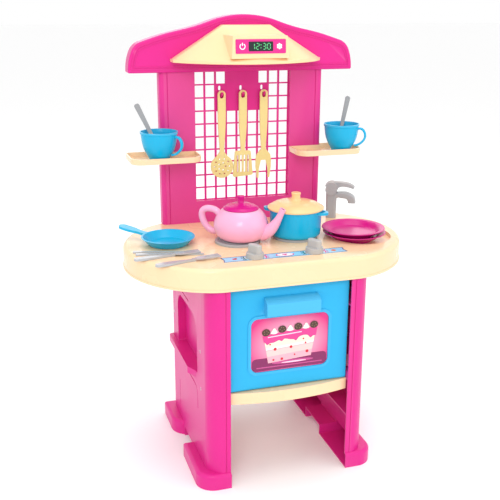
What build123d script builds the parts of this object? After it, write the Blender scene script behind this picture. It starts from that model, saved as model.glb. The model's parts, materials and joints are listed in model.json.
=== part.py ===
"""Toy kitchen: a free-standing play set for a small child.

Row frame, millimetres: +Z up, the front faces -Y, X runs to the right as seen from the front.
The origin is at the centre of the footprint box, on the floor.
"""
import os
from math import cos, hypot, radians, sin, tan

from build123d import *

os.makedirs("parts", exist_ok=True)

# ---------------------------------------------------------------- driving dimensions
TOTAL_HEIGHT = 830.0
TOTAL_DEPTH = 340.2
FRONT_REACH = 309.0  # the door handle's front, measured from the back panel's front face
PANEL_FRONT = FRONT_REACH - TOTAL_DEPTH / 2  # Y of the back panel's front face
WALL = 3.0

WORKTOP_TOP = 424.0
WORKTOP_BOTTOM = 383.0
WORKTOP_HALF = 267.0
WORKTOP_EDGE_RADIUS = 8.0
BEAD_HEIGHT = 3.5
BEAD_OUT = 1.2
WORKTOP_FRONT = 303.0
WORKTOP_REAR = -30.0
WIDEST_AHEAD = 133.9
FRONT_CORNER = 132.0
REAR_CORNER = 150.0

SIDE_INNER = 113.0
SIDE_OUTER = 153.0
COLUMN_FRONT = 298.0
SIDE_REAR = 5.0
FOOT_HEIGHT = 30.0
FOOT_OUTER = 173.0
ARCH_HEIGHT = 20.0
FRONT_FOOT = (303.0, 169.0)
REAR_FOOT = (95.0, -9.0)
TONGUE_NOTCH = (245.0, 88.0)

OVEN_FLOOR_TOP = 183.5
OVEN_FLOOR_BOTTOM = 162.0
CHEEK_TOP = 262.0
DOOR_FRONT = 289.0
DOOR_BOTTOM = 184.0
DOOR_TOP = 381.0
DOOR_HALF = 112.4
DOOR_DEPTH = 18.0
HINGE_RADIUS = 6.0
HINGE_PEG_RADIUS = 3.5
HINGE_CLEARANCE = 0.06

BACK_HALF = 167.0
BACK_DEPTH = 24.0
BACK_TOP = 776.0
LATTICE_HALF = 98.0
LATTICE_BOTTOM = 468.5
LATTICE_TOP = 723.5
LATTICE_SET_BACK = 10.0
LATTICE_COLUMNS = 9
LATTICE_ROWS = 10
LATTICE_BAR = 3.8

CANOPY_BOTTOM = 723.5
CANOPY_FRONT = 7.0

SHELF_CENTRE = 166.5
SHELF_HALF = 67.5
SHELF_REACH = 64.0
SHELF_WRAP = -18.0  # the outer end of a shelf reaches back beside the panel
SHELF_BOTTOM = 560.0
SHELF_HEIGHT = 11.0
SHELF_FLOOR = 2.5
CUP_AHEAD = 38.0
CUP_HEIGHT = 56.0
LEFT_CUP_X = -178.0
RIGHT_CUP_X = 196.0

BURNER_X = 57.0
BURNER_AHEAD = 151.0
BURNER_RADIUS = 42.0
BURNER_TOP = 428.5
KNOB_X = 56.0
KNOB_AHEAD = 255.0
TAP_X = 181.0
TAP_AHEAD = 34.0
TAP_HEADING = -28.0
SINK_X = 182.0
SINK_AHEAD = 168.0
SINK_LEDGE = 417.0
HOOK_X = (-43.5, 0.0, 43.5)
HOOK_Z = 677.7
HOOK_TILT = 35.0
HOOK_RADIUS = 2.4
UTENSIL_DEPTH = 4.0
TEAPOT_X = -50.0
TEAPOT_AHEAD = 150.0
TEAPOT_HEADING = -35.0
POT_X = 58.0
POT_AHEAD = 151.0
POT_HEADING = -38.0
PAN_X = -184.5
PAN_AHEAD = 130.5
PLATE_AHEAD = 178.0
REST_GAP = 0.3
SCREW_SHAFT = 1.9
SCREW_HEAD = 3.4


def ahead(distance):
    """Y of a point this far in front of the back panel's front face."""
    return PANEL_FRONT - distance


def save(piece, name):
    """Label one finished piece and write it as its own STEP file."""
    piece.label = name
    export_step(piece, f"parts/{name}.step")


def mirrored(piece):
    """The same piece on the other side of the centre plane."""
    return mirror(piece, about=Plane.YZ)


def turned(points, x, y):
    """Solid of revolution about the upright through (x, y), from (radius, height) points."""
    with BuildPart() as piece:
        with BuildSketch(Plane((x, y, 0), x_dir=(1, 0, 0), z_dir=(0, -1, 0))):
            with BuildLine():
                Polyline(*points, close=True)
            make_face()
        revolve(axis=Axis((x, y, 0), (0, 0, 1)))
    return piece.part


def soften(edges, radius):
    """Round edges, with a smaller radius where the first one does not fit."""
    for factor in (1.0, 0.7, 0.45):
        try:
            fillet(edges, radius * factor)
            return
        except Exception:
            continue


# ---------------------------------------------------------------- worktop
def worktop_face(grow=0.0):
    """Plan of the worktop, on Z = 0: straight front and rear, ends that are arcs of a circle."""
    with BuildSketch() as plan:
        with BuildLine():
            Line((-FRONT_CORNER, ahead(WORKTOP_FRONT)), (FRONT_CORNER, ahead(WORKTOP_FRONT)))
            for side in (-1, 1):
                ThreePointArc((side * FRONT_CORNER, ahead(WORKTOP_FRONT)),
                              (side * WORKTOP_HALF, ahead(WIDEST_AHEAD)),
                              (side * REAR_CORNER, ahead(WORKTOP_REAR)))
            Line((REAR_CORNER, ahead(WORKTOP_REAR)), (-REAR_CORNER, ahead(WORKTOP_REAR)))
        make_face()
        fillet(plan.vertices().group_by(Axis.Y)[0], 90)
        fillet(plan.vertices().group_by(Axis.Y)[-1], 30)
        if grow:
            offset(amount=grow)
    return plan.sketch


with BuildPart() as worktop_inner:
    with BuildSketch(Plane.XY.offset(WORKTOP_BOTTOM - 1)):
        add(worktop_face(-WALL))
    extrude(amount=WORKTOP_TOP - WALL - WORKTOP_BOTTOM + 1)
    # the sink hangs into this space: a shallow ledge and a deeper round bowl
    with BuildSketch(Plane.XY.offset(SINK_LEDGE - WALL)):
        with Locations((SINK_X, ahead(SINK_AHEAD))):
            Ellipse(62 + WALL, 72 + WALL)
    extrude(amount=20, mode=Mode.SUBTRACT)
    with BuildSketch(Plane.XY.offset(WORKTOP_BOTTOM + 4)):
        with Locations((168, ahead(178))):
            Circle(29 + WALL)
    extrude(amount=50, mode=Mode.SUBTRACT)

with BuildPart() as worktop:
    with BuildSketch(Plane.XY.offset(WORKTOP_BOTTOM + BEAD_HEIGHT)):
        add(worktop_face())
    extrude(amount=WORKTOP_TOP - WORKTOP_BOTTOM - BEAD_HEIGHT)
    fillet(faces().sort_by(Axis.Z)[-1].edges(), WORKTOP_EDGE_RADIUS)
    # small bead along the lower edge of the apron
    with BuildSketch(Plane.XY.offset(WORKTOP_BOTTOM)):
        add(worktop_face(BEAD_OUT))
    extrude(amount=BEAD_HEIGHT)
    add(worktop_inner.part, mode=Mode.SUBTRACT)
    # sink recess with a rounded mouth
    with BuildSketch(Plane.XY.offset(SINK_LEDGE)):
        with Locations((SINK_X, ahead(SINK_AHEAD))):
            Ellipse(60, 70)
    extrude(amount=20, mode=Mode.SUBTRACT)
    with BuildSketch(Plane.XY.offset(WORKTOP_BOTTOM + 4 + WALL)):
        with Locations((168, ahead(178))):
            Circle(29)
    extrude(amount=40, mode=Mode.SUBTRACT)
    # knob, tap and burner seats
    for side in (-1, 1):
        with Locations((side * KNOB_X, ahead(KNOB_AHEAD), WORKTOP_TOP)):
            Hole(radius=5.1, depth=10)
        with Locations((side * BURNER_X, ahead(BURNER_AHEAD), WORKTOP_TOP)):
            CounterBoreHole(radius=6.2, counter_bore_radius=BURNER_RADIUS + 0.3, counter_bore_depth=0.8,
                            depth=10)
    with Locations((TAP_X, ahead(TAP_AHEAD), WORKTOP_TOP)):
        Hole(radius=8.1, depth=10)
    # slots for the tongues of the back panel
    with BuildSketch(Plane.XY.offset(WORKTOP_TOP)):
        with Locations((-100, ahead(-12)), (100, ahead(-12))):
            Rectangle(50.4, 8.4)
    extrude(amount=-10, mode=Mode.SUBTRACT)
save(worktop.part, "worktop")

# ---------------------------------------------------------------- side panels
SIDE_SCREWS = ((237.0, 175.0), (236.0, 249.0), (18.0, 245.0))


def side_profile(inset):
    """Side view of a panel: arch along the floor, two tongues that rise into the worktop."""
    top, tongue = WORKTOP_BOTTOM - inset, WORKTOP_TOP - WALL - inset
    front, rear = COLUMN_FRONT - inset, SIDE_REAR + inset
    notch_front, notch_rear = TONGUE_NOTCH[0] + inset, TONGUE_NOTCH[1] - inset
    arch_front, arch_rear = FRONT_FOOT[1] + inset, REAR_FOOT[0] - inset
    with BuildSketch() as profile:
        with BuildLine():
            Polyline(
                (ahead(front), inset), (ahead(front), tongue), (ahead(notch_front), tongue),
                (ahead(notch_front), top), (ahead(notch_rear), top), (ahead(notch_rear), tongue),
                (ahead(rear), tongue), (ahead(rear), inset),
                (ahead(arch_rear), inset), (ahead(arch_rear), ARCH_HEIGHT + inset),
                (ahead(arch_front), ARCH_HEIGHT + inset), (ahead(arch_front), inset), close=True,
            )
        make_face()
    return profile.sketch


def foot_face(reach, inset, front_radius, rear_radius):
    """Plan of one foot, rounded where it faces outwards."""
    y_front, y_rear = ahead(reach[0] - inset), ahead(reach[1] + inset)
    x_in, x_out = SIDE_INNER, FOOT_OUTER - inset
    with BuildSketch() as plan:
        with BuildLine():
            Polyline((x_in, y_front), (x_out, y_front), (x_out, y_rear), (x_in, y_rear), close=True)
        make_face()
        outer = plan.vertices().group_by(Axis.X)[-1].sort_by(Axis.Y)
        fillet(outer[0], front_radius - inset)
        fillet(outer[-1], rear_radius - inset)
    return plan.sketch


POCKET_FLOOR = 195.0
LEDGE_HEIGHT = 13.0


def pocket_face(grow):
    """Outline of the D-shaped pocket in a panel's outer face."""
    low, high = POCKET_FLOOR - grow, 303.0 + grow
    near, far = 213.0 + grow, 54.0 - grow
    with BuildSketch() as outline:
        with BuildLine():
            Polyline((ahead(near), low), (ahead(near), high), (ahead(far), high), (ahead(far), low),
                     close=True)
        make_face()
        upper = outline.vertices().group_by(Axis.Y)[-1]
        fillet(upper, 34 + grow)
        fillet(outline.vertices().group_by(Axis.Y)[0], 4 + grow)
    return outline.sketch


POCKET_DEPTH = 16.0
FEET = ((FRONT_FOOT, 34.0, 30.0), (REAR_FOOT, 38.0, 14.0))

with BuildPart() as side_hollow:
    with BuildSketch(Plane.YZ.offset(SIDE_INNER - 1)):
        add(side_profile(WALL))
    extrude(amount=SIDE_OUTER - SIDE_INNER - WALL + 1)
    front_outer = edges().filter_by(Axis.Z).group_by(Axis.X)[-1].sort_by(Axis.Y)[0]
    fillet(front_outer, 30)
    for reach, front_radius, rear_radius in FEET:
        with BuildSketch(Plane.XY.offset(WALL)):
            add(foot_face(reach, WALL, front_radius, rear_radius))
        extrude(amount=FOOT_HEIGHT - 2 * WALL)
    with BuildSketch(Plane.YZ.offset(SIDE_OUTER - POCKET_DEPTH - WALL)):
        add(pocket_face(WALL))
    extrude(amount=POCKET_DEPTH + WALL, mode=Mode.SUBTRACT)
    # screw towers and stiffening shelves stay solid
    for distance, height in SIDE_SCREWS:
        with BuildSketch(Plane.YZ.offset(SIDE_INNER)):
            with Locations((ahead(distance), height)):
                Circle(5.5)
        extrude(amount=SIDE_OUTER - SIDE_INNER, mode=Mode.SUBTRACT)
    for height in (110.0, 330.0):
        with BuildSketch(Plane.YZ.offset(SIDE_INNER)):
            with Locations((ahead(152), height)):
                Rectangle(300, 2.4)
        extrude(amount=SIDE_OUTER - SIDE_INNER, mode=Mode.SUBTRACT)

with BuildPart() as side_panel:
    with BuildSketch(Plane.YZ.offset(SIDE_INNER)):
        add(side_profile(0))
    extrude(amount=SIDE_OUTER - SIDE_INNER)
    upright = edges().filter_by(Axis.Z).group_by(Axis.X)[-1].sort_by(Axis.Y)
    fillet(upright[0], 33)
    fillet(upright[-1], 6)
    for reach, front_radius, rear_radius in FEET:
        with BuildPart(mode=Mode.ADD) as foot:
            with BuildSketch():
                add(foot_face(reach, 0, front_radius, rear_radius))
            extrude(amount=FOOT_HEIGHT)
            rim = foot.faces().sort_by(Axis.Z)[-1].edges().filter_by(lambda e: e.center().X > SIDE_INNER + 1)
            fillet(rim, 7)
    # ledge under the pocket
    with BuildSketch(Plane.XY.offset(POCKET_FLOOR - LEDGE_HEIGHT)):
        with BuildLine():
            Polyline((150, ahead(12)), (164, ahead(12)), (164, ahead(178)), (150, ahead(208)), close=True)
        make_face()
        fillet(vertices().group_by(Axis.X)[-1], 8)
    extrude(amount=LEDGE_HEIGHT)
    add(side_hollow.part, mode=Mode.SUBTRACT)
    with BuildSketch(Plane.YZ.offset(SIDE_OUTER - POCKET_DEPTH)):
        add(pocket_face(0))
    extrude(amount=POCKET_DEPTH, mode=Mode.SUBTRACT)
    # groove beside the column, seen from the front
    with BuildSketch(Plane.XY.offset(FOOT_HEIGHT)):
        with Locations((SIDE_INNER + 8.5, ahead(COLUMN_FRONT))):
            Rectangle(1.8, 2.4)
    extrude(amount=WORKTOP_BOTTOM - FOOT_HEIGHT, mode=Mode.SUBTRACT)
    # moulded contour lines on the outer face
    with BuildSketch(Plane.YZ.offset(SIDE_OUTER - 1.4)):
        with BuildLine() as contour:
            FilletPolyline((ahead(41), 166), (ahead(213), 166), (ahead(213), 124), radius=18)
            offset(amount=1.3)
        make_face()
    extrude(amount=5, mode=Mode.SUBTRACT)
    with BuildSketch(Plane.YZ.offset(SIDE_OUTER - 1.4)):
        with Locations((ahead(60), 72)):
            SlotOverall(78, 2.2, rotation=90)
        with Locations((ahead(100), 315)):
            SlotOverall(100, 2.2)
    extrude(amount=5, mode=Mode.SUBTRACT)
    # clearance holes with countersinks for the side screws
    for distance, height in SIDE_SCREWS:
        with Locations(Plane((SIDE_OUTER, ahead(distance), height), x_dir=(0, 1, 0), z_dir=(1, 0, 0))):
            CounterSinkHole(radius=SCREW_SHAFT + 0.3, counter_sink_radius=SCREW_HEAD + 0.3,
                            depth=SIDE_OUTER - SIDE_INNER)
    # block in the column with the socket for the door's hinge peg
    with BuildSketch(Plane.YZ.offset(SIDE_INNER)):
        with Locations((ahead(COLUMN_FRONT - 13), DOOR_BOTTOM + HINGE_RADIUS)):
            Rectangle(22, 17)
    extrude(amount=7)
    with BuildSketch(Plane.YZ.offset(SIDE_INNER)):
        with Locations((ahead(DOOR_FRONT - HINGE_RADIUS), DOOR_BOTTOM + HINGE_RADIUS)):
            Circle(HINGE_PEG_RADIUS + HINGE_CLEARANCE)
    extrude(amount=6, mode=Mode.SUBTRACT)
save(side_panel.part, "side_panel_right")
save(mirrored(side_panel.part), "side_panel_left")

# ---------------------------------------------------------------- oven
with BuildPart() as oven_tray:
    with BuildSketch(Plane.XY.offset(OVEN_FLOOR_BOTTOM)):
        with BuildLine():
            Line((-SIDE_INNER, ahead(288)), (-SIDE_INNER, ahead(8)))
            Line((-SIDE_INNER, ahead(8)), (SIDE_INNER, ahead(8)))
            Line((SIDE_INNER, ahead(8)), (SIDE_INNER, ahead(288)))
            ThreePointArc((SIDE_INNER, ahead(288)), (0, ahead(302)), (-SIDE_INNER, ahead(288)))
        make_face()
    extrude(amount=OVEN_FLOOR_TOP - OVEN_FLOOR_BOTTOM)
    with BuildSketch(Plane.XY.offset(OVEN_FLOOR_BOTTOM)):
        with Locations((0, ahead(148))):
            Rectangle(2 * (SIDE_INNER - WALL), 2 * 134)
    extrude(amount=OVEN_FLOOR_TOP - OVEN_FLOOR_BOTTOM - WALL, mode=Mode.SUBTRACT)
    # cheeks that stand against the side panels behind the door
    for side in (-1, 1):
        with BuildSketch(Plane.XY.offset(OVEN_FLOOR_TOP)):
            with Locations((side * (SIDE_INNER - WALL / 2), ahead(135))):
                Rectangle(WALL, 2 * 127)
        extrude(amount=CHEEK_TOP - OVEN_FLOOR_TOP)
        # bosses that take the side screws
        for distance, height in SIDE_SCREWS:
            with BuildSketch(Plane.YZ.offset(side * (SIDE_INNER - 12) if side > 0 else -SIDE_INNER)):
                with Locations((ahead(distance), height)):
                    Circle(5)
            extrude(amount=12)
            with BuildSketch(Plane.YZ.offset(side * (SIDE_INNER - 9) if side > 0 else -SIDE_INNER)):
                with Locations((ahead(distance), height)):
                    Circle(SCREW_SHAFT)
            extrude(amount=9, mode=Mode.SUBTRACT)
save(oven_tray.part, "oven_tray")

with BuildPart() as oven_rear_panel:
    with BuildSketch(Plane.XZ.offset(-ahead(8))):
        with Locations((0, (OVEN_FLOOR_BOTTOM + WORKTOP_BOTTOM) / 2)):
            Rectangle(2 * SIDE_INNER, WORKTOP_BOTTOM - OVEN_FLOOR_BOTTOM)
    extrude(amount=-3)
    for height in (225, 275, 325):
        with BuildSketch(Plane.XZ.offset(-ahead(5))):
            with Locations((0, height)):
                SlotOverall(170, 12)
        extrude(amount=-2)
save(oven_rear_panel.part, "oven_rear_panel")

# ---------------------------------------------------------------- oven door
HANDLE_HALF = 50.0
HANDLE_REACH = 20.0
PICTURE_CENTRE = 270.0
PICTURE_SIZE = (146.0, 102.0)

with BuildPart() as oven_door:
    with BuildSketch(Plane.YZ.offset(-DOOR_HALF)):
        with BuildLine():
            Polyline(
                (ahead(DOOR_FRONT), DOOR_BOTTOM), (ahead(DOOR_FRONT), DOOR_TOP),
                (ahead(DOOR_FRONT - DOOR_DEPTH), DOOR_TOP), (ahead(DOOR_FRONT - DOOR_DEPTH), DOOR_BOTTOM),
                close=True,
            )
        make_face()
    extrude(amount=2 * DOOR_HALF)
    bottom_edges = edges().filter_by(Axis.X).group_by(Axis.Z)[0]
    fillet(bottom_edges, HINGE_RADIUS - 0.05)
    front_sides = faces().sort_by(Axis.Y)[0].edges().filter_by(Axis.Z)
    fillet(front_sides, 2.5)
    fillet(faces().sort_by(Axis.Z)[-1].edges().group_by(Axis.Y)[0], 2.5)
    # hollow from behind
    with BuildSketch(Plane.XZ.offset(-ahead(DOOR_FRONT - DOOR_DEPTH))):
        with Locations((0, (DOOR_TOP + DOOR_BOTTOM) / 2 + 3.5)):
            Rectangle(2 * (DOOR_HALF - WALL), DOOR_TOP - DOOR_BOTTOM - 2 * WALL - 7)
    extrude(amount=DOOR_DEPTH - WALL, mode=Mode.SUBTRACT)
    # raised frame and recess for the picture
    with BuildSketch(Plane.XZ.offset(-ahead(DOOR_FRONT))):
        with Locations((0, PICTURE_CENTRE)):
            RectangleRounded(PICTURE_SIZE[0] + 12, PICTURE_SIZE[1] + 12, 18)
    extrude(amount=1.4)
    with BuildSketch(Plane.XZ.offset(-ahead(DOOR_FRONT + 1.4))):
        with Locations((0, PICTURE_CENTRE)):
            RectangleRounded(PICTURE_SIZE[0] + 1, PICTURE_SIZE[1] + 1, 13)
    extrude(amount=-2.4, mode=Mode.SUBTRACT)
    # handle: a moulded hood, open underneath for the fingers
    with BuildSketch(Plane.YZ.offset(-HANDLE_HALF)):
        with BuildLine():
            Polyline(
                (ahead(DOOR_FRONT - 1), 362), (ahead(DOOR_FRONT + 7), 360), (ahead(DOOR_FRONT + 19), 353),
                (ahead(DOOR_FRONT + HANDLE_REACH), 351), (ahead(DOOR_FRONT + HANDLE_REACH), 331),
                (ahead(DOOR_FRONT - 1), 331), close=True,
            )
        make_face()
    extrude(amount=2 * HANDLE_HALF)
    with BuildSketch(Plane.XY.offset(330)):
        with Locations((0, ahead(DOOR_FRONT + 8.5))):
            RectangleRounded(2 * HANDLE_HALF - 8, 17, 3)
    extrude(amount=20, mode=Mode.SUBTRACT)
    # hinge pegs
    for side in (-1, 1):
        with BuildSketch(Plane.YZ.offset(side * DOOR_HALF)):
            with Locations((ahead(DOOR_FRONT - HINGE_RADIUS), DOOR_BOTTOM + HINGE_RADIUS)):
                Circle(HINGE_PEG_RADIUS)
        extrude(amount=side * 6)
save(oven_door.part, "oven_door")

with BuildPart() as door_picture:
    with BuildSketch(Plane.XZ.offset(-ahead(DOOR_FRONT - 1))):
        with Locations((0, PICTURE_CENTRE)):
            RectangleRounded(PICTURE_SIZE[0], PICTURE_SIZE[1], 12.5)
    extrude(amount=0.5)
save(door_picture.part, "door_picture")

# ---------------------------------------------------------------- back panel
COLUMN_PITCH = 2 * LATTICE_HALF / LATTICE_COLUMNS
ROW_PITCH = (LATTICE_TOP - LATTICE_BOTTOM) / LATTICE_ROWS


def back_plane(depth):
    """Upright plane this far behind the back panel's front face, drawn in X and Z."""
    return Plane.XZ.offset(-(PANEL_FRONT + depth))


def is_window(column, row):
    """True where the lattice is open; the hooks stand on the closed field."""
    if row == 0:
        return column not in (3, 4, 5)
    if row in (1, 2):
        return column not in (2, 3, 4, 5, 6)
    return True


def upright_rectangle(half_width, low, high):
    """Rectangle on an XZ plane from its lower to its upper edge."""
    with Locations((0, (low + high) / 2)):
        Rectangle(2 * half_width, high - low)


with BuildPart() as back_panel:
    with BuildSketch(back_plane(0)):
        upright_rectangle(BACK_HALF, WORKTOP_TOP, BACK_TOP)
    extrude(amount=-BACK_DEPTH)
    fillet(edges().filter_by(Axis.Z).group_by(Axis.Y)[0], 9)
    # hollow from behind, around the window
    with BuildSketch(back_plane(WALL)):
        upright_rectangle(BACK_HALF - WALL, WORKTOP_TOP + WALL, BACK_TOP - WALL)
        with Locations((0, (LATTICE_BOTTOM + LATTICE_TOP) / 2)):
            Rectangle(2 * (LATTICE_HALF + WALL), LATTICE_TOP - LATTICE_BOTTOM + 2 * WALL, mode=Mode.SUBTRACT)
    extrude(amount=-BACK_DEPTH, mode=Mode.SUBTRACT)
    with BuildSketch(back_plane(LATTICE_SET_BACK + WALL)):
        upright_rectangle(LATTICE_HALF + WALL, LATTICE_BOTTOM - WALL, LATTICE_TOP + WALL)
    extrude(amount=-BACK_DEPTH, mode=Mode.SUBTRACT)
    with BuildSketch(back_plane(0)):
        upright_rectangle(LATTICE_HALF, LATTICE_BOTTOM, LATTICE_TOP)
    extrude(amount=-LATTICE_SET_BACK, mode=Mode.SUBTRACT)
    # lattice openings
    with BuildSketch(back_plane(0)):
        for column in range(LATTICE_COLUMNS):
            for row in range(LATTICE_ROWS):
                if is_window(column, row):
                    x = -LATTICE_HALF + (column + 0.5) * COLUMN_PITCH
                    z = LATTICE_TOP - (row + 0.5) * ROW_PITCH
                    with Locations((x, z)):
                        Rectangle(COLUMN_PITCH - LATTICE_BAR, ROW_PITCH - LATTICE_BAR + 1)
    extrude(amount=-BACK_DEPTH, mode=Mode.SUBTRACT)
    # groove that frames the panel's face
    with BuildSketch(back_plane(0)):
        for side in (-1, 1):
            with Locations((side * (BACK_HALF - 15), (WORKTOP_TOP + CANOPY_BOTTOM) / 2)):
                Rectangle(1.8, CANOPY_BOTTOM - WORKTOP_TOP)
    extrude(amount=-1.2, mode=Mode.SUBTRACT)
    # hooks and the small slots above them
    for x in HOOK_X:
        hook_plane = Plane((x, ahead(-3.5), HOOK_Z), x_dir=(1, 0, 0),
                           z_dir=(0, -cos(radians(HOOK_TILT)), sin(radians(HOOK_TILT))))
        with BuildSketch(hook_plane.offset(-9.5)):
            Circle(HOOK_RADIUS)
        extrude(amount=16.5)
        with BuildSketch(back_plane(0)):
            with Locations((x - 2.5, HOOK_Z + 13)):
                SlotOverall(9, 5, rotation=90)
        extrude(amount=-BACK_DEPTH, mode=Mode.SUBTRACT)
    with BuildSketch(back_plane(LATTICE_SET_BACK + WALL)):
        upright_rectangle(LATTICE_HALF, HOOK_Z - 15, HOOK_Z + 5)
    extrude(amount=-6, mode=Mode.SUBTRACT)
    # tongues that drop into the worktop
    with BuildSketch(Plane.XY.offset(WORKTOP_TOP + WALL)):
        with Locations((-100, ahead(-12)), (100, ahead(-12))):
            Rectangle(50, 8)
    extrude(amount=-22)
save(back_panel.part, "back_panel")

# ---------------------------------------------------------------- canopy


def canopy_face(inset):
    """Front view of the arched cap: half of it is a chain of arcs that run into each other."""
    with BuildSketch() as outline:
        with BuildLine():
            crown = JernArc((0, TOTAL_HEIGHT), (1, 0), radius=200, arc_size=-20)
            dip = JernArc(crown @ 1, crown % 1, radius=400, arc_size=9)
            swell = JernArc(dip @ 1, dip % 1, radius=400, arc_size=-7)
            run_out = Line(swell @ 1, swell @ 1 + 25 * (swell % 1))
            shoulder = JernArc(run_out @ 1, run_out % 1, radius=32, arc_size=-50)
            cheek = JernArc(shoulder @ 1, shoulder % 1, radius=95, arc_size=-20)
            Line(cheek @ 1, ((cheek @ 1).X, CANOPY_BOTTOM))
            Line(((cheek @ 1).X, CANOPY_BOTTOM), (0, CANOPY_BOTTOM))
            mirror(about=Plane.YZ)
        make_face()
        fillet(outline.vertices().group_by(Axis.Y)[0].filter_by(lambda v: abs(v.X) > 1), 3)
        if inset:
            offset(amount=-inset)
    return outline.sketch


with BuildPart() as canopy:
    with BuildSketch(back_plane(-CANOPY_FRONT)):
        add(canopy_face(0))
    extrude(amount=-(CANOPY_FRONT + BACK_DEPTH + 3))
    soften(canopy.faces().sort_by(Axis.Y)[0].edges(), 3.5)
    with BuildSketch(back_plane(WALL - CANOPY_FRONT)):
        add(canopy_face(WALL))
    extrude(amount=-(CANOPY_FRONT + BACK_DEPTH), mode=Mode.SUBTRACT)
    # passage for the back panel
    with BuildSketch(back_plane(-REST_GAP)):
        upright_rectangle(BACK_HALF + REST_GAP, CANOPY_BOTTOM - 1, CANOPY_BOTTOM + 8)
    extrude(amount=-(BACK_DEPTH + 5), mode=Mode.SUBTRACT)
    # ribs inside the front wall that bear on the back panel
    for x in (-140, -70, 70, 140):
        with BuildSketch(back_plane(0)):
            with Locations((x, 750)):
                Rectangle(4, 44)
        extrude(amount=CANOPY_FRONT - 1)
    # two raised lines that follow the arch
    for near, far in ((6.0, 8.0), (10.5, 12.0)):
        with BuildSketch(back_plane(-CANOPY_FRONT + 0.5)):
            add(canopy_face(near))
            add(canopy_face(far), mode=Mode.SUBTRACT)
        extrude(amount=1.6)
save(canopy.part, "canopy")

# ---------------------------------------------------------------- range hood
HOOD_RIM = 744.0
HOOD_BASE = 749.0
HOOD_TOP = 811.0
HOOD_HALF = 145.0
HOOD_REACH = 114.0
HOOD_SIDE_REACH = 32.0
HOOD_DISPLAY_FRONT = 110.0
HOOD_TOP_HALF = 47.0
HOOD_BLOCK_BOTTOM = 754.0
HOOD_BLOCK_TAPER = 4.0
HOOD_BLOCK_WIDTH = 110.0


def hood_plan(half, side_reach, reach):
    """Plan of the visor at one level: flat back, bowed front."""
    with BuildSketch() as plan:
        with BuildLine():
            back = ahead(CANOPY_FRONT)
            Polyline((-half, ahead(side_reach)), (-half, back), (half, back), (half, ahead(side_reach)))
            ThreePointArc((half, ahead(side_reach)), (0, ahead(reach)), (-half, ahead(side_reach)))
        make_face()
    return plan.sketch


def hood_solid(inset):
    """Tapered visor body, inset for its inner side."""
    low_plan = hood_plan(HOOD_HALF - inset, HOOD_SIDE_REACH - inset / 2, HOOD_REACH - inset)
    high_plan = hood_plan(HOOD_TOP_HALF - inset, 22 - inset / 2, 30 - inset)
    low = Plane.XY.offset(HOOD_BASE - inset * 0.5) * low_plan
    high = Plane.XY.offset(HOOD_TOP - inset) * high_plan
    return Solid.make_loft([low.face().outer_wire(), high.face().outer_wire()], True)


with BuildPart() as range_hood:
    add(hood_solid(0))
    with BuildSketch(Plane.XY.offset(HOOD_RIM)):
        add(hood_plan(HOOD_HALF + 1.5, HOOD_SIDE_REACH + 2, HOOD_REACH + 2.5))
    extrude(amount=HOOD_BASE - HOOD_RIM + 0.5)
    with BuildSketch(Plane.XY.offset(HOOD_BLOCK_BOTTOM)):
        with Locations((0, ahead(HOOD_DISPLAY_FRONT / 2 + 12))):
            Rectangle(HOOD_BLOCK_WIDTH, HOOD_DISPLAY_FRONT - 24)
    extrude(amount=40, taper=HOOD_BLOCK_TAPER)
    add(hood_solid(WALL), mode=Mode.SUBTRACT)
    with BuildSketch(Plane.XY.offset(HOOD_BLOCK_BOTTOM + WALL)):
        with Locations((0, ahead(HOOD_DISPLAY_FRONT / 2 + 12))):
            Rectangle(HOOD_BLOCK_WIDTH - 2 * WALL, HOOD_DISPLAY_FRONT - 24 - 2 * WALL)
    extrude(amount=40 - 2 * WALL, taper=HOOD_BLOCK_TAPER, mode=Mode.SUBTRACT)
    with BuildSketch(Plane.XY.offset(HOOD_RIM - 1)):
        add(hood_plan(HOOD_HALF - WALL, HOOD_SIDE_REACH - WALL / 2, HOOD_REACH - WALL))
    extrude(amount=HOOD_BASE - HOOD_RIM, mode=Mode.SUBTRACT)
save(range_hood.part, "range_hood")

with BuildPart() as hood_display:
    face_tilt = radians(HOOD_BLOCK_TAPER)
    label_middle = 775.6
    set_back = (label_middle - HOOD_BLOCK_BOTTOM) * tan(face_tilt)
    front_plane = Plane((0, ahead(HOOD_DISPLAY_FRONT) + set_back, label_middle), x_dir=(1, 0, 0),
                        z_dir=(0, -cos(face_tilt), sin(face_tilt)))
    with BuildSketch(front_plane):
        RectangleRounded(96, 25.5, 2)
    extrude(amount=0.5)
save(hood_display.part, "hood_display")

# ---------------------------------------------------------------- shelves
def shelf_face(inset):
    """Plan of a shelf, with its inner rear corner cut out where the back panel stands."""
    with BuildSketch() as plan:
        with Locations((SHELF_CENTRE, ahead((SHELF_REACH + SHELF_WRAP) / 2))):
            Rectangle(2 * SHELF_HALF, SHELF_REACH - SHELF_WRAP)
        with Locations((BACK_HALF, ahead(0))):
            Rectangle(2 * SHELF_HALF, SHELF_HALF, align=(Align.MAX, Align.MIN), mode=Mode.SUBTRACT)
        fillet(plan.vertices().group_by(Axis.Y)[0], 22)
        fillet(plan.vertices().group_by(Axis.Y)[-1].sort_by(Axis.X)[-1], 9)
        if inset:
            offset(amount=-inset)
    return plan.sketch


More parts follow.
